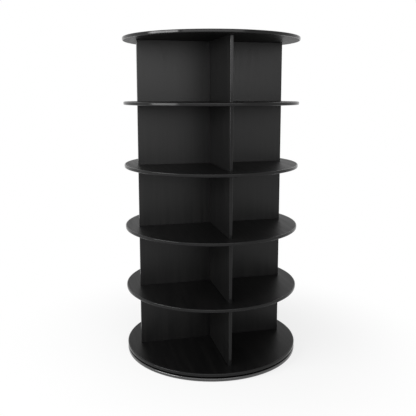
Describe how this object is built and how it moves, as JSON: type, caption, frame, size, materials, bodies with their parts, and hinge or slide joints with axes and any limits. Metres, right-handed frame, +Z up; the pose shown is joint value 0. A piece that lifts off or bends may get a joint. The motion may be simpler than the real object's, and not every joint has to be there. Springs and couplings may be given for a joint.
{
  "type": "rotating shoe tower",
  "caption": "Black shoe tower: round shelves on crossed upright panels, turning as one on a ring bearing over a low round base board.",
  "frame": {"origin": "on the floor, under the centre of the round base board", "axes": "+Z up, +X along the wide panels to the right, -Y towards the front panels"},
  "size_m": [0.58, 0.58, 1.052],
  "materials": {
    "black_board": "satin",
    "bearing_aluminium": "satin",
    "ball_steel": "polished",
    "fastener_steel": "satin",
    "foot_pad": "matte"
  },
  "bodies": {
    "base": {"foot_pad_1": "foot_pad", "foot_pad_2": "foot_pad", "foot_pad_3": "foot_pad", "foot_pad_4": "foot_pad", "base_board": "black_board", "inner_race": "bearing_aluminium", "inner_race_screw_1": "fastener_steel", "inner_race_screw_2": "fastener_steel", "inner_race_screw_3": "fastener_steel"},
    "cage": {"ball_cage": "ball_steel"},
    "tower": {"outer_race": "bearing_aluminium", "outer_race_screw_1": "fastener_steel", "outer_race_screw_2": "fastener_steel", "outer_race_screw_3": "fastener_steel", "floor_shelf": "black_board", "floor_shelf_screw_1": "fastener_steel", "floor_shelf_screw_2": "fastener_steel", "floor_shelf_screw_3": "fastener_steel", "floor_shelf_screw_4": "fastener_steel", "tier_1_wide_panel": "black_board", "tier_1_front_panel": "black_board", "tier_1_rear_panel": "black_board", "shelf_1": "black_board", "shelf_1_pin_1": "fastener_steel", "shelf_1_pin_2": "fastener_steel", "shelf_1_pin_3": "fastener_steel", "shelf_1_pin_4": "fastener_steel", "tier_2_wide_panel": "black_board", "tier_2_front_panel": "black_board", "tier_2_rear_panel": "black_board", "shelf_2": "black_board", "shelf_2_pin_1": "fastener_steel", "shelf_2_pin_2": "fastener_steel", "shelf_2_pin_3": "fastener_steel", "shelf_2_pin_4": "fastener_steel", "tier_3_wide_panel": "black_board", "tier_3_front_panel": "black_board", "tier_3_rear_panel": "black_board", "shelf_3": "black_board", "shelf_3_pin_1": "fastener_steel", "shelf_3_pin_2": "fastener_steel", "shelf_3_pin_3": "fastener_steel", "shelf_3_pin_4": "fastener_steel", "tier_4_wide_panel": "black_board", "tier_4_front_panel": "black_board", "tier_4_rear_panel": "black_board", "shelf_4": "black_board", "shelf_4_pin_1": "fastener_steel", "shelf_4_pin_2": "fastener_steel", "shelf_4_pin_3": "fastener_steel", "shelf_4_pin_4": "fastener_steel", "tier_5_wide_panel": "black_board", "tier_5_front_panel": "black_board", "tier_5_rear_panel": "black_board", "top_board": "black_board", "top_board_pin_1": "fastener_steel", "top_board_pin_2": "fastener_steel", "top_board_pin_3": "fastener_steel", "top_board_pin_4": "fastener_steel"}
  },
  "joints": [
    {"name": "tower_turn", "type": "hinge", "parent": "base", "child": "tower", "pos_m": [0, 0, 0.0145], "axis": [0, 0, 1], "continuous": true},
    {"name": "cage_roll", "type": "hinge", "parent": "base", "child": "cage", "pos_m": [0, 0, 0.0145], "axis": [0, 0, 1], "continuous": true}
  ],
  "couplings": [
    {"joint": "cage_roll", "follows": "tower_turn", "ratio": 0.5}
  ]
}
